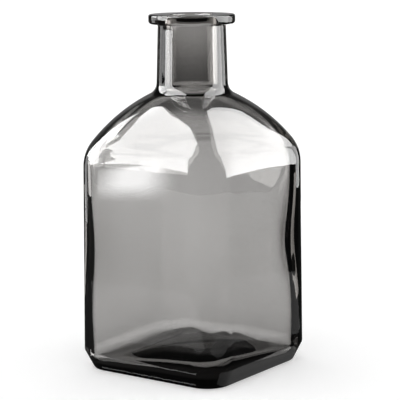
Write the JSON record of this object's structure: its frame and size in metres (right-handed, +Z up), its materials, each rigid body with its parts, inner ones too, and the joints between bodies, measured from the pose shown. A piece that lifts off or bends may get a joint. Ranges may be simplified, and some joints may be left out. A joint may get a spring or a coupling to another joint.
{
  "type": "bottle vase",
  "caption": "Square smoky glass bottle vase with domed shoulders, a straight round neck and a flat flanged lip, for stems or a stopper.",
  "frame": {"origin": "centre of the foot, on the plane that the bottle stands on", "axes": "+Z up along the neck's axis; the four flat faces are square to X and Y"},
  "size_m": [0.0894, 0.0894, 0.18],
  "materials": {
    "smoky_glass": "clear smoky grey glass, polished"
  },
  "bodies": {
    "root": {"glass_bottle": "smoky_glass"}
  },
  "joints": []
}
